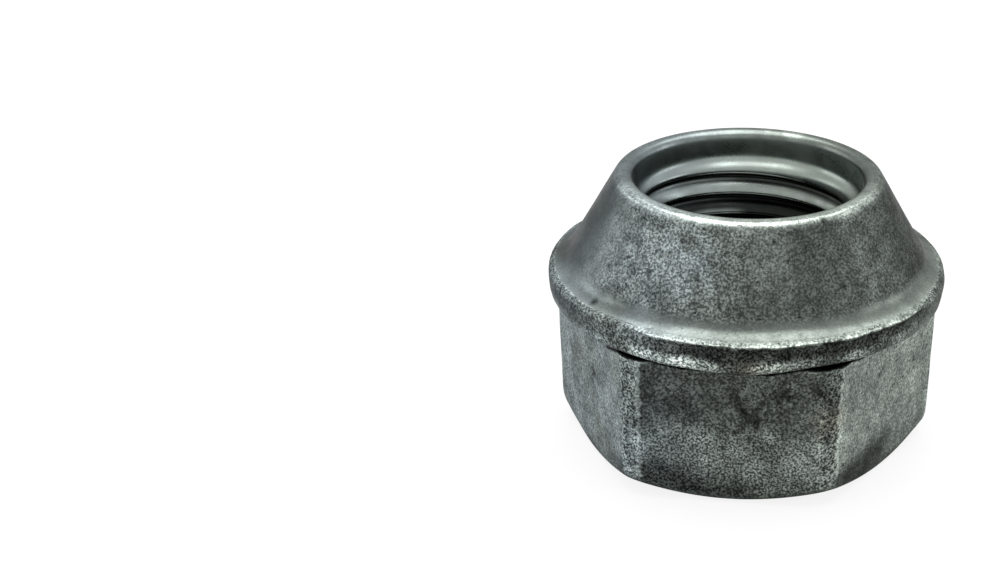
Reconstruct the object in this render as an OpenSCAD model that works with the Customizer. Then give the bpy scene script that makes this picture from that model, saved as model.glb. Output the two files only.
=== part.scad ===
// Open-ended wheel lug nut with a forged collar and a 60 degree tapered seat.
// One piece of zinc-plated steel. It stands on its hexagon end, with the seat cone up, in millimetres.

/* [Hexagon] */
// width across the flats at half their length, for a 3/4 inch wrench
hex_af = 19.05; // [17:0.05:22]
// draft of the flats, which stand wider apart towards the collar
draft_deg = 1; // [0.2:0.1:2]
// share of the full hexagon corner that the forging fills
corner_fill = 0.8; // [0.5:0.01:0.95]
// length of the flats, from the end face to where the collar starts
hex_len = 8.4; // [6:0.05:14]
// how far in from the flats the end face stops and the chamfer starts
face_inset = 0.6; // [0.1:0.02:1]
// angle of the corner chamfer to the end face
chamfer_deg = 30; // [15:1:40]
// share of a corner's reach past the flats that the fold under the collar takes up
fold_share = 0.77; // [0.3:0.01:0.95]

/* [Collar] */
// how far the collar stands out past the hexagon corners
collar_ledge = 0.45; // [0.4:0.05:2]
// height of the collar's side
collar_h = 1.6; // [1:0.05:4]
// how much the collar's side draws in from its upper to its lower edge
collar_draw = 0.1; // [0:0.02:0.2]
// slope of the collar's underside, which runs out on the flats
underside_deg = 15; // [8:1:30]
// rounding of the collar's lower edge
collar_round = 0.4; // [0.1:0.05:0.6]
// rounding of the collar's upper edge
rim_round = 0.38; // [0.1:0.02:0.5]

/* [Tapered seat] */
// included angle of the seat cone
seat_deg = 60; // [50:1:70]
// radius of the hollow between the cone and the collar's shoulder
fillet_r = 1.2; // [0.4:0.05:1.6]
// fall of the shoulder from the hollow out to the collar's upper edge
shoulder_deg = 10; // [4:1:20]
// straight strip of the shoulder between the hollow and the rounded edge
shoulder_flat = 0.02; // [0.02:0.01:0.6]
// thickness of the lip between the counterbore and the cone, before its edges are rounded
lip_wall = 0.95; // [0.9:0.05:1.4]
// rounding of the lip towards the cone
lip_outer_r = 0.5; // [0.2:0.05:0.6]
// rounding of the lip towards the counterbore
lip_inner_r = 0.45; // [0.1:0.05:0.5]

/* [Threaded bore] */
// diameter at the crests of the thread, 1/2 inch with 20 turns to the inch
minor_d = 11.56; // [10.8:0.02:12.2]
// radial width of the countersink in the hexagon end
sink_w = 1.6; // [0.6:0.01:1.7]
// included angle of the countersink
sink_deg = 120; // [90:1:130]
// radial step from the thread crests out to the counterbore
bore_step = 0.58; // [0.58:0.01:0.9]
// depth of the counterbore's straight wall below the lip
counterbore_depth = 1.45; // [0.8:0.05:3]
// included angle of the lead-in between the counterbore and the thread
lead_deg = 73; // [60:1:120]

/* [Hidden] */
$fn = 160;
// overrun of the cutters past the end faces
over = 1;
// how far the hexagon and the collar reach into each other
bury = 1;
flat_r = hex_af / 2;
spread = hex_len / 2 * tan(draft_deg);
wide_r = flat_r + spread;
corner_r = flat_r + corner_fill * (flat_r / cos(30) - flat_r);
face_r = flat_r - face_inset;
collar_r = corner_r + collar_ledge;
low_r = collar_r - collar_draw;
low_z = hex_len + (low_r - wide_r) * tan(underside_deg);
side_deg = atan2(collar_h, collar_draw);
fold_r = corner_r - fold_share * (corner_r - wide_r);
fold_z = hex_len + (fold_r - wide_r) * tan(underside_deg);
root_r = wide_r - bury;
root_z = hex_len - bury * tan(underside_deg);
top_z = low_z + collar_h;
minor_r = minor_d / 2;
counterbore_r = minor_r + bore_step;
lip_r = counterbore_r + lip_wall;
slope = seat_deg / 2;
fillet_run = fillet_r / tan((90 + slope + shoulder_deg) / 2);
rim_run = rim_round / tan((side_deg + shoulder_deg) / 2);
shoulder_run = fillet_run + shoulder_flat + rim_run;
foot_r = collar_r - shoulder_run * cos(shoulder_deg);
foot_z = top_z + shoulder_run * sin(shoulder_deg);
height = foot_z + (foot_r - lip_r) / tan(slope);
lead_z = height - counterbore_depth;
thread_top = lead_z - bore_step / tan(lead_deg / 2);
sink_z = sink_w / tan(sink_deg / 2);

// the piece between a corner at p, whose sides leave at angles a and b, and an arc of radius r in that corner
module corner_piece(p, a, b, r) {
  half = (b - a) / 2;
  run = r / tan(half);
  mid = p + r / sin(half) * [cos(a + half), sin(a + half)];
  difference() {
    polygon([p, p + run * [cos(a), sin(a)], mid, p + run * [cos(b), sin(b)]]);
    translate(mid) circle(r);
  }
}

// collar, hollow shoulder, seat cone and rounded lip, as half a section
module head_section() {
  difference() {
    polygon([[0, root_z], [root_r, root_z], [low_r, low_z], [collar_r, top_z],
             [foot_r, foot_z], [lip_r, height], [0, height]]);
    corner_piece([lip_r, height], 180, 270 + slope, lip_outer_r);
    corner_piece([low_r, low_z], side_deg, 180 + underside_deg, collar_round);
    corner_piece([collar_r, top_z], 180 - shoulder_deg, 180 + side_deg, rim_round);
  }
  corner_piece([foot_r, foot_z], -shoulder_deg, 90 + slope, fillet_r);
}

// round blank that the hexagon is cut from, with the chamfer on its end; its top is level, and the gap between
// that top and the collar's rising underside is the fold at the corners
module blank_section() {
  lean = tan(draft_deg) / cos(30);
  end_r = corner_r - hex_len / 2 * lean;
  top_r = corner_r + (fold_z - hex_len / 2) * lean;
  polygon([[0, 0], [face_r, 0], [end_r, (end_r - face_r) * tan(chamfer_deg)], [top_r, fold_z], [0, fold_z]]);
}

// countersink, thread crests, lead-in, counterbore and the rounding inside the lip, as half a section
module bore_section() {
  polygon([[0, -over], [minor_r + sink_w + over * tan(sink_deg / 2), -over], [minor_r, sink_z],
           [minor_r, thread_top], [counterbore_r, lead_z], [counterbore_r, height + over], [0, height + over]]);
  corner_piece([counterbore_r, height], -90, 0, lip_inner_r);
}

// a block with two of the hexagon's flats on its sides, leaning out by the draft
module flat_pair() {
  lean = bury * tan(draft_deg);
  rotate([90, 0, 0]) linear_extrude(height = 4 * flat_r, center = true)
    polygon([[-flat_r + spread + lean, -bury], [flat_r - spread - lean, -bury],
             [wide_r + lean, hex_len + bury], [-wide_r - lean, hex_len + bury]]);
}

module hexagon() {
  intersection() {
    rotate(30) flat_pair();
    rotate(90) flat_pair();
    rotate(150) flat_pair();
    rotate_extrude() blank_section();
  }
}

module lug_nut() {
  color([0.52, 0.54, 0.53])
  difference() {
    union() {
      hexagon();
      rotate_extrude() head_section();
    }
    rotate_extrude() bore_section();
  }
}

lug_nut();
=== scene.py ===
# %% [markdown]
# # A wheel lug nut, forged, plated and a little rough
# The nut is one piece of steel. It was pressed into a hexagon with a collar and a cone, then tapped and
# dipped in zinc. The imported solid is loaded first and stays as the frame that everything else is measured
# against. All lengths in this lesson are written in millimetres, and MM turns them into metres.

# %% Load the frame
import math

import bpy
from mathutils import Matrix, Vector


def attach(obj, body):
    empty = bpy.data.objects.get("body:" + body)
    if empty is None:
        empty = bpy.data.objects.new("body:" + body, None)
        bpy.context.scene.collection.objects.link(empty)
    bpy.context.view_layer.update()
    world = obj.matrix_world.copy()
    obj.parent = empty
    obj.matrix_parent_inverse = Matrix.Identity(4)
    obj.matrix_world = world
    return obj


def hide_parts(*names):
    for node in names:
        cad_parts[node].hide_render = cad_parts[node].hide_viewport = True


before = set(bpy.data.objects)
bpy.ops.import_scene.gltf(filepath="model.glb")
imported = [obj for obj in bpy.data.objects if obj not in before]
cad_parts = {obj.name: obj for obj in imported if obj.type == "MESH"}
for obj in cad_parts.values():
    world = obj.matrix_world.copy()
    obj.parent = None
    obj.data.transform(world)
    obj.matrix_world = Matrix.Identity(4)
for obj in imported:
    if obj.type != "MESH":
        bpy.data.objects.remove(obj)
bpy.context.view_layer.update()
MM = 0.001

# %% [markdown]
# ## The sizes of the nut
# A few sizes drive the others, and they are the ones that drive the solid. They are repeated here because
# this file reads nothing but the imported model. The hexagon stands on z = 0, two of its corners lie on the
# X axis, and the cone is on top. The forging fills the hexagon's corners only in part, and the collar
# stands out past them by a ledge. The angles are those of the flats' draft, the end chamfer, the collar's
# underside, the fall of its shoulder, the seat cone and the collar's side. The sizes worked out from
# these are rounded to a micrometre and become the inputs of the nut's tree.

# %% Driving sizes
INCH = 25.4
ACROSS_FLATS = 19.05
FLAT_LENGTH = 8.4
FACE_INSET = 0.6
CORNER_FILL = 0.8
FOLD_SHARE = 0.77
LEDGE = 0.45
COLLAR_HIGH = 1.6
COLLAR_DRAW = 0.1
EDGE_ROUND = 0.38
HOLLOW_ROUND = 1.2
SHOULDER_FLAT = 0.02
LIP_WALL = 0.95
CREST_R = 5.78
BORE_STEP = 0.58
BORE_DEEP = 1.45
SINK_WIDE = 1.6
DRAFT = math.tan(math.radians(1))
CHAMFER = math.tan(math.radians(30))
UNDERSIDE = math.radians(15)
FALL = math.radians(10)
SLOPE = math.radians(30)
LEAN = math.atan2(COLLAR_HIGH, COLLAR_DRAW)
print("hexagon:", ACROSS_FLATS, "mm across its flats")

# %% Sizes worked out from them
HALF_SIXTH = math.pi / 6
half_flats = ACROSS_FLATS / 2
widest = half_flats + FLAT_LENGTH / 2 * DRAFT
corner = half_flats + CORNER_FILL * (half_flats / math.cos(HALF_SIXTH) - half_flats)
collar = corner + LEDGE
collar_low = collar - COLLAR_DRAW
collar_top = FLAT_LENGTH + (collar_low - widest) * math.tan(UNDERSIDE) + COLLAR_HIGH
hollow_run = HOLLOW_ROUND / math.tan((math.pi / 2 + SLOPE + FALL) / 2)
shoulder_run = hollow_run + SHOULDER_FLAT + EDGE_ROUND / math.tan((LEAN + FALL) / 2)
cone_foot = collar - shoulder_run * math.cos(FALL)
counterbore = CREST_R + BORE_STEP
lip = counterbore + LIP_WALL
top = collar_top + shoulder_run * math.sin(FALL) + (cone_foot - lip) / math.tan(SLOPE)
SIZES = {
    "Across flats": ACROSS_FLATS,
    "Corner radius": corner,
    "Flat length": FLAT_LENGTH,
    "Face radius": half_flats - FACE_INSET,
    "Collar radius": collar,
    "Collar low radius": collar_low,
    "Collar rounding": 0.4,
    "Collar top edge": collar_top,
    "Edge rounding": EDGE_ROUND,
    "Fold radius": corner - FOLD_SHARE * (corner - widest),
    "Cone foot radius": cone_foot,
    "Hollow radius": HOLLOW_ROUND,
    "Lip radius": lip,
    "Lip rounding": 0.5,
    "Rim rounding": 0.45,
    "Height": top,
    "Counterbore radius": counterbore,
    "Crest radius": CREST_R,
    "Root radius": INCH / 4,
    "Pitch": INCH / 20,
    "Lead-in top": top - BORE_DEEP,
    "Countersink radius": CREST_R + SINK_WIDE,
    "Roughness": 1.0,
}
SIZES = {name: round(value, 3) for name, value in SIZES.items()}
print(len(SIZES), "named sizes, height", SIZES["Height"], "mm")

# %% [markdown]
# ## Arithmetic for a Geometry Nodes tree
# The nut's surface follows a rule: each point is given by an angle round the axis and a place along the
# section. Such a rule suits Geometry Nodes, but a formula of forty Math nodes is hard to read when each
# node is placed by hand. The small class below lets a formula be written as plain arithmetic, and every
# operation adds one node to the tree.

# %% Fields that can be added and multiplied
tree = bpy.data.node_groups.new("nut surface", "GeometryNodeTree")


def add(kind, **settings):
    """Adds a node to the nut's tree."""
    node = tree.nodes.new(kind)
    for name, value in settings.items():
        setattr(node, name, value)
    return node


def plug(socket, value):
    """Links a field to a socket, or sets a plain number on it."""
    if isinstance(value, Field):
        tree.links.new(value.socket, socket)
    else:
        socket.default_value = value


def calc(operation, *values):
    """The result of one Math node."""
    node = add("ShaderNodeMath", operation=operation)
    for socket, value in zip(node.inputs, values):
        plug(socket, value)
    return Field(node.outputs[0])


class Field:
    """One number, or one vector, for each point of the surface."""

    def __init__(self, socket):
        self.socket = socket

    def __add__(self, other):
        return calc("ADD", self, other)

    def __sub__(self, other):
        return calc("SUBTRACT", self, other)

    def __mul__(self, other):
        return calc("MULTIPLY", self, other)

    def __truediv__(self, other):
        return calc("DIVIDE", self, other)

    def __rsub__(self, other):
        return calc("SUBTRACT", other, self)

    __radd__ = __add__
    __rmul__ = __mul__


print("arithmetic ready")

# %% Functions of fields
def least(a, b):
    return calc("MINIMUM", a, b)


def most(a, b):
    return calc("MAXIMUM", a, b)


def sine(a):
    return calc("SINE", a)


def cosine(a):
    return calc("COSINE", a)


def between(a, b, t):
    """The value that goes from a to b as t goes from 0 to 1."""
    return a + (b - a) * t


def ramp(value, start, end, smooth=True):
    """0 at the start, 1 at the end and held past both."""
    kind = "SMOOTHSTEP" if smooth else "LINEAR"
    node = add("ShaderNodeMapRange", interpolation_type=kind, clamp=True)
    for socket, v in zip(node.inputs, (value, start, end, 0.0, 1.0)):
        plug(socket, v)
    return Field(node.outputs[0])


def combine(*values):
    """A vector of three numbers."""
    node = add("ShaderNodeCombineXYZ")
    for socket, value in zip(node.inputs, values):
        plug(socket, value)
    return Field(node.outputs[0])


def arc(x, z, r, angle):
    """Radius and height of the point at an angle on an arc about the point x, z of the section."""
    return x + cosine(angle) * r, z + sine(angle) * r


print("functions ready")

# %% [markdown]
# ## Where a point is
# Every strip of the surface starts as a flat grid. Its X runs once round the nut and its Y runs along the
# section. The columns are not spread evenly: each hexagon corner is a narrow forged strip, and two
# columns lie exactly on the edges of that strip, so the edges come out straight and clean.

# %% Inputs of the tree
for name, value in SIZES.items():
    socket = tree.interface.new_socket(name=name, in_out="INPUT", socket_type="NodeSocketFloat")
    socket.default_value = value
tree.interface.new_socket(name="Finish", in_out="INPUT", socket_type="NodeSocketMaterial")
tree.interface.new_socket(name="Surface", in_out="OUTPUT", socket_type="NodeSocketGeometry")
entry = add("NodeGroupInput")
size = {name: Field(entry.outputs[name]) for name in SIZES}
print("inputs:", len(size), "sizes and a finish")

# %% Angle round the axis and place along the section
COLUMNS = 360
FLAT_SHARE = 50 / 60
SIXTH = math.pi / 3
HALF_STRIP = math.radians(2.857)
strip_edge = HALF_SIXTH - HALF_STRIP
spot = add("ShaderNodeSeparateXYZ")
tree.links.new(add("GeometryNodeInputPosition").outputs[0], spot.inputs[0])
around = Field(spot.outputs[0]) + 0.5
along = Field(spot.outputs[1]) + 0.5
sixths = around * 6.0
sector = least(calc("FLOOR", sixths), 5.0)
swing = (sixths - sector) * 2.0 - 1.0
reach = calc("ABSOLUTE", swing)
flat_part = least(reach / FLAT_SHARE, 1.0) * strip_edge
strip_part = most((reach - FLAT_SHARE) / (1 - FLAT_SHARE), 0.0) * HALF_STRIP
off_flat = flat_part + strip_part
turn = sector * SIXTH + HALF_SIXTH + off_flat * calc("SIGN", swing)
print("columns:", COLUMNS, "nodes so far:", len(tree.nodes))

# %% [markdown]
# ## Roughness of the forging
# Forged steel is never quite true: the collar's edge is ragged, the corners are dented and the flats have
# shallow waves. Noise read in space, on a cylinder round the axis, has no seam where the grid closes. A
# name that ends in AT is the height at which one ring of it is read. Some marks lie on one side of the
# nut only, and for those a second function says how much a point faces that side.

# %% Noise on the cylinder and sides of the nut
NOISE_R = 10.5
SEED_STEP = 37.0
ring_x = cosine(turn)
ring_y = sine(turn)


def grain(z, scale, seed, detail=2.0):
    """Noise from -1 to 1 at a height z, with about scale bumps per millimetre."""
    noise = add("ShaderNodeTexNoise")
    plug(noise.inputs["Vector"], combine(ring_x * NOISE_R + seed * SEED_STEP, ring_y * NOISE_R, z))
    noise.inputs["Scale"].default_value = scale
    noise.inputs["Detail"].default_value = detail
    return (Field(noise.outputs[0]) * 2.0 - 1.0) * size["Roughness"]


def facing(degrees, wide, full=0.0):
    """1 up to full degrees from the side at this angle from -Y towards +X, and 0 from wide degrees on."""
    side = math.radians(degrees - 90)
    toward = ring_x * math.cos(side) + ring_y * math.sin(side)
    return ramp(toward, math.cos(math.radians(wide)), math.cos(math.radians(full)))


print("noise ready")

# %% [markdown]
# ## The section, strip by strip
# The section is walked from the hexagon end outwards, up over the collar and the cone, over the lip and
# down through the thread. Each strip starts where the last one ends, so the strips close into one skin. A
# strip also stores what its surface is like. In the vector finish, X is its tone, which also holds painted
# light and shade, Y is how coarse it is and Z is how worn and bright it is, with a painted highlight on the
# lip: bores are cut and smooth, while the collar and the corners were only squeezed and are coarse. The
# number soft is how much its edges are rounded later. The number rim is the distance in millimetres to the
# nearest worn edge, and the last number is the distance to the nearest line of painted shade.

# %% One strip
FAR = 5.0
skin = add("GeometryNodeJoinGeometry")
rows_used = []


def store(geometry, name, kind, value):
    """Stores a value for each point under a name and hands the geometry on."""
    node = add("GeometryNodeStoreNamedAttribute", data_type=kind, domain="POINT")
    node.inputs["Name"].default_value = name
    tree.links.new(geometry, node.inputs["Geometry"])
    plug(node.inputs["Value"], value)
    return node.outputs[0]


def strip(rows, r, z, tone, coarse, worn, soft, rim=FAR, crease_shade=FAR):
    """Adds one strip to the skin, with a radius and a height for each of its points."""
    grid = add("GeometryNodeMeshGrid")
    spans = {"Size X": 1.0, "Size Y": 1.0, "Vertices X": COLUMNS + 1, "Vertices Y": rows + 1}
    for name, value in spans.items():
        grid.inputs[name].default_value = value
    geometry = store(grid.outputs["Mesh"], "finish", "FLOAT_VECTOR", combine(tone, coarse, worn))
    for name, value in (("soft", soft), ("rim", rim), ("crease_shade", crease_shade)):
        geometry = store(geometry, name, "FLOAT", value)
    metres = add("ShaderNodeVectorMath", operation="SCALE")
    plug(metres.inputs[0], combine(ring_x * r, ring_y * r, z))
    metres.inputs["Scale"].default_value = MM
    move = add("GeometryNodeSetPosition")
    tree.links.new(geometry, move.inputs["Geometry"])
    tree.links.new(metres.outputs[0], move.inputs["Position"])
    tree.links.new(move.outputs[0], skin.inputs[0])
    rows_used.append(rows)


print("strips have", COLUMNS, "columns each")

# %% [markdown]
# ### Hexagon
# The end face is flat. Outside it a 30 degree chamfer takes off the corners, and it runs out on the flats
# in curves. The flats lean out by one degree towards the collar. Each corner is a flattened strip with
# dents.

# %% End face and chamfer
CHAMFER_AT = 0.7
middle = size["Flat length"] / 2.0
flat_r = size["Across flats"] / 2.0
face_r = size["Face radius"]
sink_r = size["Countersink radius"]


def side_r(z):
    """Radius of the hexagon at a height, with waves on the flats and dents on the corners."""
    flat = flat_r + (z - middle) * DRAFT + grain(z, 0.35, 1) * 0.02
    corner = size["Corner radius"] + (z - middle) * (DRAFT / math.cos(HALF_SIXTH))
    dents = grain(z, 1.1, 2, 3.0) * 0.07 + facing(26, 12) * -0.05
    return least(flat / cosine(off_flat), corner + dents)


chamfer_z = (side_r(CHAMFER_AT) - face_r) * CHAMFER
chamfer_r = side_r(chamfer_z)
strip(4, between(sink_r, face_r, along), 0.0, tone=1.0, coarse=0.4, worn=0.3, soft=0.4)
chamfer = (between(face_r, chamfer_r, along), between(0.0, chamfer_z, along))
# The chamfer's low tone is a painted shade: it faces down, towards the shaded floor under the nut.
strip(7, *chamfer, tone=0.35, coarse=0.5, worn=0.1, soft=0.9)
print("hexagon end done, rows:", sum(rows_used))

# %% [markdown]
# ### The fold under the collar
# When the collar was pressed out, metal lapped over each hexagon corner and left a thin fold, and
# painted shade darkens the way into it. The corner's top is level and the collar's underside rises above
# it, so the fold is widest at the corner and closes towards the flat. Rows are set closer together towards
# the fold, where the shape changes most.

# %% Heights of the fold
FOLD_AT = 8.45
wide_r = flat_r + middle * DRAFT


def under_at(r):
    """Height of the collar's underside at a radius."""
    return size["Flat length"] + (r - wide_r) * math.tan(UNDERSIDE)


fold_r = least(side_r(FOLD_AT), size["Fold radius"] + grain(FOLD_AT, 0.7, 3) * 0.06)
fold_z = under_at(fold_r)
corner_near = ramp(off_flat, math.radians(12), math.radians(20))
ledge_z = fold_z - corner_near * (0.01 + grain(FLAT_LENGTH, 0.9, 11, 3.0) * 0.08)
side_z = between(chamfer_z, ledge_z, 1.0 - calc("POWER", 1.0 - along, 1.5))
to_ledge = ledge_z - side_z
print("fold placed, nodes so far:", len(tree.nodes))

# %% [markdown]
# ### Painted shade on the sides
# The front flat is painted darker with shade, most in its upper half. The flats are also darker towards
# their foot, most on the front flats, in a band whose upper edge wanders. The corner strips are coarse,
# and their two edges are rubbed bright.

# %% Tone of the sides
on_strip = ramp(off_flat, strip_edge - HALF_STRIP * 0.25, strip_edge + HALF_STRIP * 0.25)
one_edge = ramp(swing, -0.1, 0.1) * 0.1 - 0.03
from_strip = calc("ABSOLUTE", off_flat - strip_edge) * size["Corner radius"] + one_edge
edge_gap = least(from_strip, to_ledge + (1.0 - corner_near) * FAR)
front = ramp(ring_y * -1.0, math.cos(math.radians(31)), math.cos(math.radians(26.5)))
wander = side_z + grain(side_z, 0.25, 12) * 1.6
upper = ramp(wander, 3.2, 5.2)
# Painted shade: the front flat is darker, most in its upper half.
front_shade = front * (0.46 + upper * 0.27)
foot_side = 0.2 + facing(-15, 34, 10) * 0.6 + facing(46, 26) * 0.6
foot_high = facing(-23, 14) * 0.8 + facing(46, 26) * 0.6
foot_dark = ramp(side_z - foot_high + grain(side_z, 0.4, 17) * 0.9, 2.3, 1.0) * foot_side
corner_tone = 0.95 + facing(-30, 20) * 0.33 - facing(30, 20) * ramp(side_z, 2.5, 6.5) * 0.35
# The flats' tone holds the painted shade of the front flat and the darker band at the foot.
side_tone = between((1.0 - front_shade) * 1.9 * (1.0 - foot_dark), corner_tone, on_strip)
side_coarse = between(0.49 + front * (0.34 - upper * 0.2), 1.0, on_strip)
print("tones of the sides set")

# %% [markdown]
# ### The painted shade under the collar
# Shade is painted in the angle under the collar. Its line stands 8.74 mm high where the hexagon reaches
# out to 10.84 mm, and it falls by 0.52 mm for each millimetre that the side lies further in, so on the
# front flat it is lowest in the middle. Past the front corners it sinks a little more and then thins out,
# and further round only a hair of it is left at the fold.

# %% Line of painted shade, sides and fold
COLLAR_AT = 8.8
SHADE_HIGH = 8.74
SHADE_R = 10.84
SHADE_FALL = 0.52
LEFT_CORNER = math.pi * 4 / 3
RIGHT_CORNER = math.pi * 5 / 3
DROOP_ANGLE = 0.45
IN_FOLD = 0.06
uneven = grain(COLLAR_AT, 0.3, 5) * 0.16 + facing(33, 26) * 0.12 - facing(6, 18) * 0.14
uneven = uneven - corner_near * 0.06
past_left = least(most(LEFT_CORNER - turn, 0.0), DROOP_ANGLE)
past_right = least(most(turn - RIGHT_CORNER, 0.0), DROOP_ANGLE)
droop = past_left * (0.8 + past_left * 0.5) + past_right * (0.229 + past_right * 1.2)
# The line of painted shade under the collar.
shade_line_z = SHADE_HIGH + uneven - (SHADE_R - side_r(FLAT_LENGTH)) * SHADE_FALL - droop
thin_out = front * ramp(off_flat, math.radians(12), math.radians(5)) * 0.2
thin_out = thin_out + ramp(past_left, 0.2, DROOP_ANGLE) * 1.1 + ramp(past_right, 0.2, DROOP_ANGLE) * 0.85
side_crease_shade = least(shade_line_z - side_z + thin_out, to_ledge + IN_FOLD)
top_crease_shade = least(shade_line_z - ledge_z + thin_out, IN_FOLD)
sides = {"tone": side_tone, "coarse": side_coarse, "worn": 0.1, "soft": 0.9}
strip(28, side_r(side_z), side_z, **sides, rim=edge_gap, crease_shade=side_crease_shade)
top_r = side_r(ledge_z)
ledge_r = between(top_r, fold_r, along)
# The ledge's tone falls towards the fold: painted shade.
ledge = {"tone": 0.8 - along * 0.6, "coarse": 0.8, "worn": 0.0, "soft": 0.1}
strip(4, ledge_r, between(ledge_z, fold_z, along), **ledge, rim=top_r - ledge_r, crease_shade=top_crease_shade)
print("sides and fold done, rows:", sum(rows_used))

# %% [markdown]
# ### Collar
# The underside of the collar slopes gently down onto the flats and runs out there in six crescents. Its
# lower edge is round and rubbed lighter in places.

# %% Underside and lower edge of the collar
RUBBED_AT = 9.0
rounding = size["Collar rounding"]
low_r = size["Collar low radius"] + grain(COLLAR_AT, 0.6, 4) * 0.1
arc_x = low_r - rounding
arc_y = under_at(arc_x) + rounding / math.cos(UNDERSIDE) + uneven
begin = UNDERSIDE - math.pi / 2
begin_r = arc_x + rounding * math.cos(begin)
begin_z = arc_y + rounding * math.sin(begin)
under = (between(fold_r, begin_r, along), between(fold_z, begin_z, along))
# The underside is painted dark with shade near the fold and lighter further out.
fold_shade_tone = 0.25 + ramp(along, 0.0, 0.5) * 0.6
strip(8, *under, tone=fold_shade_tone, coarse=0.7, worn=0.1, soft=0.3, crease_shade=top_crease_shade + along)
rubbed = 0.55 + ramp(grain(RUBBED_AT, 0.45, 13, 3.0) + facing(-15, 45) * 0.3, -0.25, 0.2) * 0.75
rubbed = rubbed + facing(-15, 17) * 1.9 + facing(12, 9) * 0.5 - facing(1, 8) * 0.9
low_edge = arc(arc_x, arc_y, rounding, begin * (1.0 - along))
low_coarse = 0.5 + facing(5, 65, 30) * 0.3
strip(6, *low_edge, tone=rubbed, coarse=low_coarse, worn=0.15, soft=0.5)
print("lower edge done, rows:", sum(rows_used))

# %% [markdown]
# The collar's upper edge was left as the die let it go: ragged, with a thin burr along the front where
# the metal was squeezed out, and rounder on the far side. Below the burr the side is hollow, and painted
# shade darkens it there; further down it bulges out. The side is also painted a little lighter at the front
# left and darker further left. A noise mottles it.

# %% Shape of the collar's side and upper edge
EDGE_AT = 10.4
burr = facing(19, 51, 40)
edge_r = size["Collar radius"] + grain(EDGE_AT, 1.9, 6, 4.0) * (0.04 + burr * 0.16) - burr * 0.03
edge_z = size["Collar top edge"] + grain(EDGE_AT, 1.8, 7, 4.0) * (0.04 + burr * 0.12) - burr * 0.07
blunt = size["Edge rounding"] * (1.0 - burr * 0.85)
bisect = (LEAN + FALL) / 2
blunt_x = edge_r + blunt * (math.cos(math.pi - FALL + bisect) / math.sin(bisect))
blunt_y = edge_z + blunt * (math.sin(math.pi - FALL + bisect) / math.sin(bisect))
wall_top_r = blunt_x + blunt * math.sin(LEAN)
wall_top_z = blunt_y - blunt * math.cos(LEAN)
wall_z = between(arc_y, wall_top_z, along)
hollow = ramp(along, 0.3, 0.7) * ramp(along, 1.0, 0.85) * burr * 0.16
bulge = sine(along * math.pi) * 0.05
inside = ramp(along, 0.0, 0.15) * ramp(along, 1.0, 0.9)
lumps = grain(wall_z, 1.6, 8, 4.0) * inside * 0.06
wall_r = between(low_r, wall_top_r, along) - hollow + bulge + lumps
print("collar shaped, nodes so far:", len(tree.nodes))

# %% Finish of the collar's side and upper edge
# Painted light and shade on the collar's side: darker under the burr at the front, lighter at the front
# left and darker further left.
wall_shade = 1.0 + facing(-30, 26) * 0.22 - facing(10, 110, 45) * 0.12
wall_shade = wall_shade - facing(20, 47, 34) * 0.65 - facing(-70, 45) * 0.3
mottle = 1.0 + grain(wall_z, 1.5, 21, 3.0) * 0.5
wall_tone = between(rubbed, wall_shade, ramp(along + grain(wall_z, 0.6, 14) * 0.3, 0.15, 0.5)) * mottle
no_burr = (1.0 - burr) * 3.0
wall = {"tone": wall_tone, "coarse": 0.42 + facing(5, 60, 35) * 0.5, "worn": 0.0, "soft": 0.6 - burr * 0.4}
strip(12, wall_r, wall_z, **wall, rim=(1.0 - along) * 1.2 + no_burr)
tip = LEAN - math.pi / 2 + along * (math.pi - FALL - LEAN)
# Over the upper edge the tone fades from the side's painted shade to a plain lighter tone.
tip_tone = between(wall_shade * mottle, 1.2, along)
high_edge = arc(blunt_x, blunt_y, blunt, tip)
strip(5, *high_edge, tone=tip_tone, coarse=0.7, worn=burr * 0.6, soft=0.3, rim=no_burr + 0.03)
print("collar done, rows:", sum(rows_used))

# %% [markdown]
# ### Shoulder and cone
# A hollow leads from the collar's edge into the seat cone, which leans in by 30 degrees. The arcs are
# walked by angle, so they are true arcs whatever their radius. The bed and the hollow carry a painted
# highlight, and the cone is painted darker on the right and at the back on the left. The cone is speckled
# at the front and smoother on the left.

# %% Shoulder and hollow
foot_r = size["Cone foot radius"]
foot_z = size["Collar top edge"] + (size["Collar radius"] - foot_r) * math.tan(FALL)
hollow_r = size["Hollow radius"]
opening = (math.pi / 2 + SLOPE + FALL) / 2
hollow_x = foot_r + hollow_r * (math.cos(opening - FALL) / math.sin(opening))
hollow_y = foot_z + hollow_r * (math.sin(opening - FALL) / math.sin(opening))
tip_r = blunt_x + blunt * math.sin(FALL)
tip_z = blunt_y + blunt * math.cos(FALL)
bed_r = hollow_x - hollow_r * math.sin(FALL)
bed_z = hollow_y - hollow_r * math.cos(FALL)
# sheen is a painted highlight on the bed and the hollow, at the front left and on the right.
sheen = facing(-50, 32) * 0.6 + facing(62, 38) * 0.45
bed = (between(tip_r, bed_r, along), between(tip_z, bed_z, along))
strip(3, *bed, tone=1.2 + sheen, coarse=0.5, worn=0.4, soft=0.3, rim=along * 0.3 + no_burr + 0.03)
sweep = math.pi * 1.5 - FALL - along * (math.pi / 2 - SLOPE - FALL)
shoulder = arc(hollow_x, hollow_y, hollow_r, sweep)
# The hollow's tone is a painted highlight, brightest near the collar's edge and on the right.
hollow_highlight_tone = 1.15 - along * 0.2 + facing(85, 45) * 0.3 + sheen * (1.0 - along)
hollow_finish = {"tone": hollow_highlight_tone, "coarse": 0.25, "worn": 0.4 - along * 0.2, "soft": 0.5}
strip(12, *shoulder, **hollow_finish, rim=0.3 + along * 2.0 + no_burr)
print("shoulder done, rows:", sum(rows_used))

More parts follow.
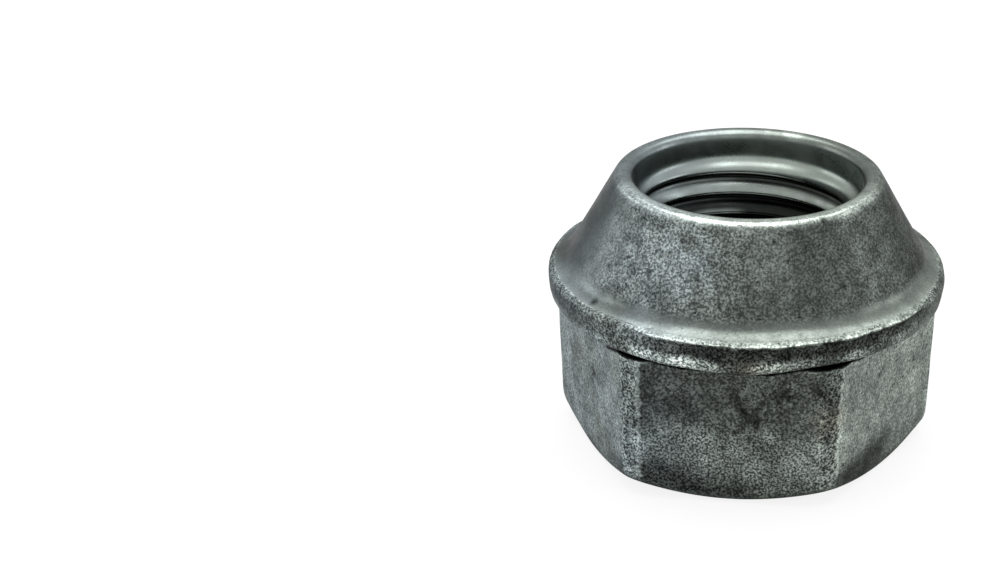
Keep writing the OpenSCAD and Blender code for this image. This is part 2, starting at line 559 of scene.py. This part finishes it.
# %% Seat cone
lip_round = size["Lip rounding"]
start_r = hollow_x - hollow_r * math.cos(SLOPE)
start_z = hollow_y - hollow_r * math.sin(SLOPE)
lip_run = lip_round * math.tan(SLOPE)
end_r = size["Lip radius"] + lip_run * math.sin(SLOPE)
end_z = size["Height"] - lip_run * math.cos(SLOPE)
cone_z = between(start_z, end_z, along)
wave = grain(cone_z, 0.3, 9) * sine(along * math.pi) * 0.02
cone_r = between(start_r, end_r, along) + wave
# The cone's tone holds painted shade on the right and at the back on the left.
cone_shade_tone = 0.87 - facing(75, 75) * 0.34 - facing(-110, 60) * 0.22
cone_coarse = 0.5 + facing(-25, 40, 14) * 0.12 - facing(-82, 50, 14) * 0.25
strip(18, cone_r, cone_z, tone=cone_shade_tone, coarse=cone_coarse, worn=0.2, soft=0.5)
print("cone done, rows:", sum(rows_used))

# %% [markdown]
# ### Lip
# The cone ends in a lip that is rounded on both sides and dips a little at the front. It goes into the
# wheel first, so it is worn bright, but in patches, and a painted highlight brightens its front and, less,
# its back.

# %% Lip
LIP_AT = 15.4
rim_round = size["Rim rounding"]
lip_x = size["Lip radius"] - lip_run
rim_x = size["Counterbore radius"] + rim_round
dip = facing(5, 85) * 0.1
# Wear in patches, with a painted highlight at the front of the lip and a weaker one at the back.
wear_and_glint = grain(LIP_AT, 0.55, 15, 3.0) + facing(8, 90, 30) * 1.2 + facing(180, 50, 25) * 0.25 - 0.3
wear_and_glint = 0.4 + ramp(wear_and_glint, -0.1, 0.35) * 0.6
lip_wear_and_glint = 0.2 + ramp(along + grain(LIP_AT, 0.8, 16) * 0.3, -0.2, 0.3) * (wear_and_glint - 0.2)
rim_wear_and_glint = wear_and_glint - along * (wear_and_glint - 0.2)
# A painted highlight on the front of the lip.
lip_highlight = facing(5, 80, 40)
round_up = SLOPE + along * (math.pi / 2 - SLOPE)
outer_r, outer_z = arc(lip_x, size["Height"] - lip_round, lip_round, round_up)
outer = {"tone": 1.2 + lip_highlight * 0.3, "coarse": 0.4, "worn": lip_wear_and_glint, "soft": 0.4}
strip(7, outer_r, outer_z - dip * along, **outer)
crown = {"tone": 1.2 + lip_highlight * 0.4, "coarse": 0.3, "worn": wear_and_glint, "soft": 0.4}
strip(3, between(lip_x, rim_x, along), size["Height"] - dip, **crown)
round_in = math.pi / 2 + along * (math.pi / 2)
inner_r, inner_z = arc(rim_x, size["Height"] - rim_round, rim_round, round_in)
inner = {"tone": 1.3, "coarse": 0.2, "worn": rim_wear_and_glint, "soft": 0.4}
strip(7, inner_r, inner_z - dip * (1.0 - along), **inner)
print("seat done, rows:", sum(rows_used))

# %% [markdown]
# ### Counterbore, thread and countersink
# The thread is a right-hand helix with 20 turns to the inch. A grid with level rows would cut across the
# helix and leave steps, so here the rows climb with it: every row rises by one pitch in one turn, and row
# n meets row n + 12 where the grid closes. Rows past either end are squeezed onto the end ring and merge
# there. The groove is cut into whatever the bore is at that height. It grows shallow just below the
# lead-in, and it runs out in the countersink at the other end, as a tap leaves it.

# %% Shape of the thread
PER_TURN = 12
THREAD_ROWS = 141
FIRST_STEP = 3.0
GROOVE_STEP = 8.0
THREAD_LOW = 0.55
RUN_OUT = (13.75, 13.3)
SINK_SLOPE = math.tan(math.radians(60))
pitch = size["Pitch"]
crest_r = size["Crest radius"]
thread_high = THREAD_LOW - pitch + pitch * (THREAD_ROWS / PER_TURN)
count = (1.0 - along) * THREAD_ROWS
climb = turn / (2 * math.pi)
thread_z = THREAD_LOW - pitch + (count / PER_TURN + climb) * pitch
thread_z = least(most(thread_z, THREAD_LOW), thread_high)
step = calc("MODULO", calc("ROUND", count) + FIRST_STEP, float(PER_TURN))
groove_z = thread_z - (step - GROOVE_STEP) * (pitch / PER_TURN)
depth = ramp(groove_z, *RUN_OUT)
worn_crest = ramp(step, 0.0, 4.0, False) * 0.42 + ramp(step, 4.0, 7.0, False) * 0.58
cut = (worn_crest - ramp(step, 9.0, 12.0, False)) * depth
groove = between(crest_r, size["Root radius"], cut)
lead_out = ramp(thread_z, 12.95, 13.5, False) * 0.17 + ramp(thread_z, 13.48, 13.98) * 0.68
lead_out = lead_out + ramp(thread_z, 13.85, size["Lead-in top"]) * 0.15
lead_in = between(crest_r, size["Counterbore radius"], lead_out)
sink = sink_r - thread_z * SINK_SLOPE
crest = ramp(cut, 0.5, 0.1) * ramp(thread_z, 0.9, 1.6) * ramp(thread_z, 13.9, 13.2)
bore = most(most(lead_in, sink), groove) + grain(thread_z, 0.8, 10) * crest * 0.012
print("thread shaped, nodes so far:", len(tree.nodes))

# %% [markdown]
# The wall of the counterbore and the first turns are painted light, a painted reflection that is
# brightest on the right and at the back right, and painted shade darkens the grooves. Further down the
# thread is painted nearly black with shade.

# %% Finish of the bore
# Heights over which the thread goes from painted shade to painted light.
LIT_HEIGHTS = (11.3, 12.0)
bore_top = size["Height"] - rim_round
# The counterbore wall's tone is a painted reflection, brightest on the right and at the back right.
wall_reflection = 1.8 + facing(130, 60) * 1.2 + facing(92, 45) * 1.7
wall_down = between(bore_top, thread_high, along)
strip(5, size["Counterbore radius"], wall_down, tone=wall_reflection, coarse=0.02, worn=0.1, soft=0.3)
# Painted shade deep in the thread, with a painted lighter streak at the back left.
deep_shade = 0.19 + facing(-156, 20) * ramp(step, 3.0, 0.5) * 1.7
lit_back_left = facing(-135, 50) * 2.3
# Painted shade in the grooves; at the back left it starts later, where more light falls in.
groove_shade = ramp(step, 2.4 + lit_back_left, 6.0 + lit_back_left) * (0.88 - ramp(step, 8.0, 10.0) * 0.2) * depth
thread_tone = between(deep_shade, 2.1, ramp(thread_z, *LIT_HEIGHTS)) * (1.0 - groove_shade)
thread_soft = 0.04 + ramp(thread_z, 13.3, 13.6) * 0.3
strip(THREAD_ROWS, bore, thread_z, tone=thread_tone, coarse=0.02, worn=0.2, soft=thread_soft)
sink_end = sink_r - THREAD_LOW * SINK_SLOPE
countersink = (between(sink_end, sink_r, along), between(THREAD_LOW, 0.0, along))
strip(4, *countersink, tone=1.0, coarse=0.4, worn=0.5, soft=0.3)
print("rows:", sum(rows_used), "triangles at most:", 2 * COLUMNS * sum(rows_used))

# %% [markdown]
# ### Closing the skin
# The strips are joined and points that coincide are merged. Then the positions are blurred a little,
# which rounds every edge the way tumbling and plating do. The attribute soft says how much: edges that
# were squeezed in a die are rounder than a cut thread or a burr.

# %% Join, merge, soften
merge = add("GeometryNodeMergeByDistance")
merge.inputs["Distance"].default_value = 0.002 * MM
blur = add("GeometryNodeBlurAttribute", data_type="FLOAT_VECTOR")
blur.inputs["Iterations"].default_value = 3
weight = add("GeometryNodeInputNamedAttribute", data_type="FLOAT")
weight.inputs["Name"].default_value = "soft"
settle = add("GeometryNodeSetPosition")
shade = add("GeometryNodeSetShadeSmooth")
real = add("GeometryNodeRealizeInstances")
coat = add("GeometryNodeSetMaterial")
leave = add("NodeGroupOutput")
chain = (skin, merge, settle, shade, real, coat)
for first, second in zip(chain, chain[1:]):
    tree.links.new(first.outputs[0], second.inputs["Geometry"])
tree.links.new(add("GeometryNodeInputPosition").outputs[0], blur.inputs["Value"])
tree.links.new(weight.outputs["Attribute"], blur.inputs["Weight"])
tree.links.new(blur.outputs["Value"], settle.inputs["Position"])
tree.links.new(entry.outputs["Finish"], coat.inputs["Material"])
tree.links.new(coat.outputs[0], leave.inputs["Surface"])
print("tree nodes:", len(tree.nodes))

# %% [markdown]
# ## Zinc plating
# Old zinc is a dull grey metal with a faint green cast. It is mottled: the bath leaves lighter and darker
# clouds a millimetre or so wide, and over them lies a fine speckle of pale grains and dark pits, about a
# tenth of a millimetre across. Several noises of different size are mixed for this, and the numbers
# stored on the strips say where the plating is coarse or worn bright, and where light and shade are
# painted.

# %% Helpers for shader nodes
def emptied(owner):
    """The nodes and links of a material or world, with nothing in them yet."""
    owner.use_nodes = True
    owner.node_tree.nodes.clear()
    return owner.node_tree.nodes, owner.node_tree.links


def shader(kind, **settings):
    """Adds a node to the tree in hand."""
    node = nodes.new(kind)
    for name, value in settings.items():
        setattr(node, name, value)
    return node


def feed(socket, value):
    """Links another socket to this one, or sets a plain value on it."""
    if isinstance(value, bpy.types.NodeSocket):
        links.new(value, socket)
    else:
        socket.default_value = value


def sums(operation, *values):
    """The result of one Math node."""
    node = shader("ShaderNodeMath", operation=operation)
    for socket, value in zip(node.inputs, values):
        feed(socket, value)
    return node.outputs[0]


def times(first, *others):
    for other in others:
        first = sums("MULTIPLY", first, other)
    return first


def largest(first, *others):
    for other in others:
        first = sums("MAXIMUM", first, other)
    return first


def darker(value, mask):
    """The value where the mask is 0, and nothing of it where the mask is 1."""
    return times(value, sums("SUBTRACT", 1.0, mask))


def rise(value, start, end, low=0.0, high=1.0):
    """Low at the start, high at the end and held past both."""
    node = shader("ShaderNodeMapRange", interpolation_type="SMOOTHSTEP")
    for socket, v in zip(node.inputs, (value, start, end, low, high)):
        feed(socket, v)
    return node.outputs[0]


zinc = bpy.data.materials.new("zinc_steel")
nodes, links = emptied(zinc)
print("zinc material started")

# %% Noise and places on the nut
where = shader("ShaderNodeTexCoord").outputs["Object"]


def clouds(per_mm, detail, shift=0.0, rough=0.5, stretch=(1, 1, 1), angles=(0, 0, 0)):
    """Noise with about per_mm clouds in a millimetre of the object."""
    space = shader("ShaderNodeMapping")
    links.new(where, space.inputs["Vector"])
    space.inputs["Location"].default_value = (shift, shift * 0.7, shift * 1.3)
    space.inputs["Rotation"].default_value = [math.radians(a) for a in angles]
    space.inputs["Scale"].default_value = [s / MM for s in stretch]
    noise = shader("ShaderNodeTexNoise")
    links.new(space.outputs[0], noise.inputs["Vector"])
    noise.inputs["Scale"].default_value = per_mm
    noise.inputs["Detail"].default_value = detail
    noise.inputs["Roughness"].default_value = rough
    return noise.outputs[0]


def near(x, y, z, wide, tall=None, tilt=0):
    """1 at a point of the nut and 0 from wide mm on, or from tall mm on along a line tilted from Z to X."""
    space = shader("ShaderNodeMapping", vector_type="TEXTURE")
    links.new(where, space.inputs["Vector"])
    space.inputs["Location"].default_value = (x * MM, y * MM, z * MM)
    space.inputs["Rotation"].default_value = (0, math.radians(tilt), 0)
    space.inputs["Scale"].default_value = (wide * MM, wide * MM, (tall or wide) * MM)
    gap = shader("ShaderNodeVectorMath", operation="LENGTH")
    links.new(space.outputs[0], gap.inputs[0])
    return rise(gap.outputs["Value"], 1.0, 0.0)


def near_any(*places):
    """1 at each of several points of the nut."""
    return largest(*[near(*place) for place in places])


print("places ready")

# %% Stored numbers and noises
finish = shader("ShaderNodeAttribute", attribute_name="finish")
parts = shader("ShaderNodeSeparateXYZ")
links.new(finish.outputs["Vector"], parts.inputs[0])
# The tone holds the painted light and shade of the strips.
tone, coarse, worn = parts.outputs
rim = shader("ShaderNodeAttribute", attribute_name="rim").outputs["Fac"]
crease_shade = shader("ShaderNodeAttribute", attribute_name="crease_shade").outputs["Fac"]
drift = clouds(0.22, 3.0, 3.0)
patch = clouds(0.9, 4.0, 11.0, 0.6)
speckle = clouds(8.0, 2.0, 5.0, 0.6)
dots = clouds(3.6, 2.0, 19.0, 0.6)
ragged = clouds(1.8, 4.0, 23.0, 0.65)
contrast = rise(coarse, 0.05, 1.0)
print("noises made")

# %% [markdown]
# ### Speckle, pits, worn edges and painted shade
# Speckle is strongest where the metal was only forged. Pits are the lowest parts of a second noise. Worn
# edges show as pale broken lines: the distance to the edge is shaken by a noise first, so that the line
# wanders and has gaps. The line of painted shade under the collar is drawn in the same way, but dark.

# %% Brightness
grains = sums("ADD", 1.0, times(rise(speckle, 0.39, 0.66, -0.74, 1.72), contrast))
blotches = times(rise(patch, 0.32, 0.68, -0.3, 0.34), rise(coarse, 0.0, 0.6, 0.2, 1.0))
pits = times(rise(dots, 0.37, 0.31), rise(coarse, 0.1, 0.5))
light = times(tone, rise(drift, 0.3, 0.7, 0.82, 1.2), grains, sums("ADD", 1.0, blotches))
light = darker(light, times(pits, 0.62))
light = times(light, rise(worn, 0.2, 1.0, 1.0, 2.0))
to_edge = sums("ADD", rim, rise(ragged, 0.3, 0.7, -0.09, 0.16))
bright_line = times(rise(to_edge, 0.15, 0.03), rise(patch, 0.3, 0.5, 0.35, 1.0))
light = sums("ADD", light, times(bright_line, 1.5))
# The painted shade under the collar darkens what lies above its line.
to_shade_line = sums("ADD", crease_shade, rise(ragged, 0.3, 0.7, -0.04, 0.06))
light = darker(light, times(rise(to_shade_line, 0.17, 0.08), 0.93))
print("brightness mixed")

# %% [markdown]
# ### Marks of this nut
# A pale bluish bloom lies on the cone, left of the middle. The front flat has greasy smears that cross,
# and stains above and beside them. A few larger pits are scattered over the front, and the flat to the
# right has some fine scratches that run down at a slant. Each mark has its place on the nut, in
# millimetres.

# %% Bloom, smears, stains, pits and scratches
BLOOM = (-3.0, -8.0, 13.3, 4.6)
SMEARS = [(0.8, -9.5, 5.7, 0.45, 2.1, -37), (1.16, -9.5, 5.5, 0.38, 2.1, 36), (1.37, -9.5, 5.2, 0.5, 0.9)]
STAINS = [(-2.8, -9.5, 5.9, 1.0), (3.1, -9.5, 6.7, 1.8), (4.7, -9.4, 7.1, 1.0), (-8.0, -5.3, 5.3, 1.2)]
FLAT_PITS = [(-0.33, -9.5, 3.46, 0.32), (0.3, -9.5, 4.45, 0.3)]
CORNER_PITS = [(4.45, -9.4, 3.1, 0.22, 0.6), (5.2, -9.2, 4.2, 0.4, 0.8)]
UPPER_PITS = [(-4.5, -7.8, 12.7, 0.32), (-1.9, -8.7, 12.9, 0.22), (1.95, -7.6, 14.7, 0.22)]
UPPER_PITS += [(5.6, -7.3, 12.3, 0.35), (-7.5, -7.3, 10.6, 0.4), (4.4, -6.0, 15.4, 0.35)]
SCRATCHED = (8.0, -5.5, 5.5, 5.0)
bloom = times(near(*BLOOM), rise(patch, 0.3, 0.6, 0.4, 1.0))
light = times(light, sums("ADD", 1.0, times(bloom, 0.6)))
stained = times(near_any(*STAINS), rise(ragged, 0.3, 0.6), 0.75)
light = darker(light, largest(times(near_any(*SMEARS), 0.8), stained))
light = darker(light, times(near_any(*FLAT_PITS, *CORNER_PITS, *UPPER_PITS), 0.8))
slanting = clouds(1.0, 1.0, 7.0, 0.5, (3.0, 3.0, 0.35), (0, 32, 0))
scratches = times(rise(slanting, 0.64, 0.68), near(*SCRATCHED))
light = sums("ADD", light, times(scratches, 0.5))
print("marks placed:", len(SMEARS + STAINS + FLAT_PITS + CORNER_PITS + UPPER_PITS))

# %% [markdown]
# ### Colour, gloss and bump
# The grey is a little bluer on the left and in the bloom, and brownish in two spots at the front. Coarse
# plating is dull and worn metal is glossier. The speckle also stands up as a fine bump.

# %% Colour
GREY = (0.118, 0.133, 0.120, 1)
BLUISH = (0.115, 0.133, 0.137, 1)
BROWNISH = (0.128, 0.13, 0.11, 1)
BROWN_SPOTS = [(0.9, -11.0, 9.0, 1.3), (5.2, -9.2, 5.3, 1.5)]


def blend(factor, first, second):
    """A colour that goes from the first to the second with a factor."""
    node = shader("ShaderNodeMix", data_type="RGBA")
    for name, value in (("Factor", factor), ("A", first), ("B", second)):
        feed(node.inputs[name], value)
    return node.outputs["Result"]


across = shader("ShaderNodeSeparateXYZ")
links.new(where, across.inputs[0])
blue = times(rise(across.outputs[0], 2 * MM, -7 * MM), rise(drift, 0.3, 0.6, 0.4, 1.0))
colour = blend(largest(blue, bloom), GREY, BLUISH)
colour = blend(near_any(*BROWN_SPOTS), colour, BROWNISH)
lit = shader("ShaderNodeVectorMath", operation="SCALE")
links.new(colour, lit.inputs[0])
links.new(light, lit.inputs["Scale"])
print("colour mixed")

# %% Gloss and bump
metal = shader("ShaderNodeBsdfPrincipled")
links.new(metal.outputs[0], shader("ShaderNodeOutputMaterial").inputs["Surface"])
links.new(lit.outputs[0], metal.inputs["Base Color"])
metal.inputs["Metallic"].default_value = 1.0
metal.inputs["Specular Tint"].default_value = (0.5, 0.5, 0.5, 1)
dull = sums("ADD", rise(coarse, 0.0, 1.0, 0.32, 0.55), rise(patch, 0.3, 0.7, 0.05, -0.05))
links.new(sums("SUBTRACT", dull, times(worn, 0.08)), metal.inputs["Roughness"])
bump = shader("ShaderNodeBump")
bump.inputs["Strength"].default_value = 0.6
bump.inputs["Distance"].default_value = 0.05 * MM
height = sums("SUBTRACT", times(sums("ADD", speckle, patch), contrast), times(pits, 0.5))
links.new(height, bump.inputs["Height"])
links.new(bump.outputs[0], metal.inputs["Normal"])
print("zinc nodes:", len(nodes))

# %% [markdown]
# ## From tree to mesh
# The tree is put on an empty mesh as a modifier, and its inputs are set by identifier. The evaluated
# result is copied into a plain mesh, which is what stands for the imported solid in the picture. Its volume
# has to come out positive, so that its faces point outwards, and every edge has to have two faces.

# %% Make the nut
def put(name, data):
    """A new object of that name, placed in the scene."""
    thing = bpy.data.objects.new(name, data)
    bpy.context.scene.collection.objects.link(thing)
    return thing


maker = put("maker", bpy.data.meshes.new("maker"))
build = maker.modifiers.new("surface", "NODES")
build.node_group = tree
for item in tree.interface.items_tree:
    if item.in_out == "INPUT":
        build[item.identifier] = zinc if item.name == "Finish" else SIZES[item.name]
ready = maker.evaluated_get(bpy.context.evaluated_depsgraph_get())
mesh = bpy.data.meshes.new_from_object(ready)
mesh.name = "nut"
bpy.data.objects.remove(maker)
nut = put("nut", mesh)
print("nut made of", len(mesh.vertices), "points")

# %% Check the skin and put it in the solid's place
mesh.calc_loop_triangles()
volume = 0.0
for tri in mesh.loop_triangles:
    a, b, c = (mesh.vertices[i].co for i in tri.vertices)
    volume += a.dot(b.cross(c)) / 6
faces_at = [0] * len(mesh.edges)
for loop in mesh.loops:
    faces_at[loop.edge_index] += 1
print("triangles:", len(mesh.loop_triangles), "volume mm3:", round(volume / MM**3, 1))
print("open or odd edges:", sum(1 for n in faces_at if n != 2))
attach(nut, "root")
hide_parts("lug_nut")

# %% [markdown]
# ## Floor and light
# The nut stands on white in soft light. A tent of even white light shows the grey as it is written, and a
# softbox overhead brightens what faces up: the lip, the hollow above the collar and the upper sides of
# the thread. The floor is mostly a plain white to the camera and to reflections, and partly lit, so that
# it keeps the nut's shadow.

# %% Floor
FLOOR_HALF = 1.0
PLAIN_WHITE = 0.85
corners = [(-FLOOR_HALF, -FLOOR_HALF, 0), (FLOOR_HALF, -FLOOR_HALF, 0)]
corners += [(FLOOR_HALF, FLOOR_HALF, 0), (-FLOOR_HALF, FLOOR_HALF, 0)]
floor_mesh = bpy.data.meshes.new("floor")
floor_mesh.from_pydata(corners, [], [(0, 1, 2, 3)])
floor = put("floor", floor_mesh)
white = bpy.data.materials.new("white_floor")
nodes, links = emptied(white)
rays = shader("ShaderNodeLightPath").outputs
seen = largest(rays["Is Camera Ray"], rays["Is Glossy Ray"], rays["Is Transmission Ray"])
paper = shader("ShaderNodeBsdfDiffuse")
paper.inputs["Color"].default_value = (0.94, 0.94, 0.94, 1)
glow = shader("ShaderNodeEmission")
glow.inputs["Color"].default_value = (1, 1, 1, 1)
glow.inputs["Strength"].default_value = 1.0
mixer = shader("ShaderNodeMixShader")
for socket, source in zip(mixer.inputs, (times(seen, PLAIN_WHITE), paper.outputs[0], glow.outputs[0])):
    links.new(source, socket)
links.new(mixer.outputs[0], shader("ShaderNodeOutputMaterial").inputs["Surface"])
floor_mesh.materials.append(white)
print("floor made")

# %% World and lamps
AIM_HIGH = 8
world = bpy.data.worlds.new("tent")
bpy.context.scene.world = world
nodes, links = emptied(world)
sky = shader("ShaderNodeBackground")
sky.inputs["Color"].default_value = (1, 1, 1, 1)
sky.inputs["Strength"].default_value = 1.0
links.new(sky.outputs[0], shader("ShaderNodeOutputWorld").inputs["Surface"])


def softbox(name, place, width, length, radiance):
    """A lamp of a size in millimetres that shines towards the nut's axis."""
    lamp = bpy.data.lights.new(name, "AREA")
    lamp.shape = "RECTANGLE"
    lamp.size = width * MM
    lamp.size_y = length * MM
    lamp.energy = radiance * math.pi * lamp.size * lamp.size_y
    box = put(name, lamp)
    box.location = Vector(place) * MM
    aim = Vector((0, place[1], AIM_HIGH)) - Vector(place)
    box.rotation_euler = aim.to_track_quat("-Z", "Y").to_euler()


softbox("softbox_top", (0, 30, 130), 110, 150, 3.3)
softbox("softbox_left", (-140, 20, 60), 80, 80, 1.6)
softbox("softbox_right", (150, 20, 50), 80, 80, 1.2)

# %% [markdown]
# ## Camera
# The picture was fitted with a camera about ten centimetres away, 25 degrees above the floor and turned
# 4.3 degrees off the front flat. The nut stands in the right half of the frame, so the lens is shifted
# rather than the camera turned. The picture's size, the place of the nut's middle in it and the focal
# length are in pixels.

# %% Camera
PICTURE = (1000, 578)
NUT_MIDDLE = (745.9, 298.9)
FOCAL = 1690.2
SENSOR = 36
DISTANCE = 96.54
ELEVATION = math.radians(25.195)
OFF_FRONT = math.radians(4.304)
ROLL = math.radians(1.391)
level = math.cos(ELEVATION)
back = Vector((math.sin(OFF_FRONT) * level, -math.cos(OFF_FRONT) * level, math.sin(ELEVATION)))
right = Vector((math.cos(OFF_FRONT), math.sin(OFF_FRONT), 0))
up = back.cross(right)
rolled_right = right * math.cos(ROLL) + up * math.sin(ROLL)
rolled_up = up * math.cos(ROLL) - right * math.sin(ROLL)
target = Vector((0, 0, SIZES["Height"] / 2))
eye = (target + back * DISTANCE) * MM
lens = bpy.data.cameras.new("camera")
lens.sensor_width = SENSOR
lens.lens = FOCAL * SENSOR / PICTURE[0]
lens.clip_start = 0.005
lens.clip_end = 10
lens.shift_x = -(NUT_MIDDLE[0] - PICTURE[0] / 2) / PICTURE[0]
lens.shift_y = (NUT_MIDDLE[1] - PICTURE[1] / 2) / PICTURE[0]
camera = put("camera", lens)
stance = Matrix((rolled_right, rolled_up, back)).transposed().to_4x4()
camera.matrix_world = Matrix.Translation(eye) @ stance
bpy.context.scene.camera = camera
bpy.context.scene.view_settings.view_transform = "Standard"
print("camera at mm", [round(v / MM, 1) for v in eye], "lens", round(lens.lens, 1))
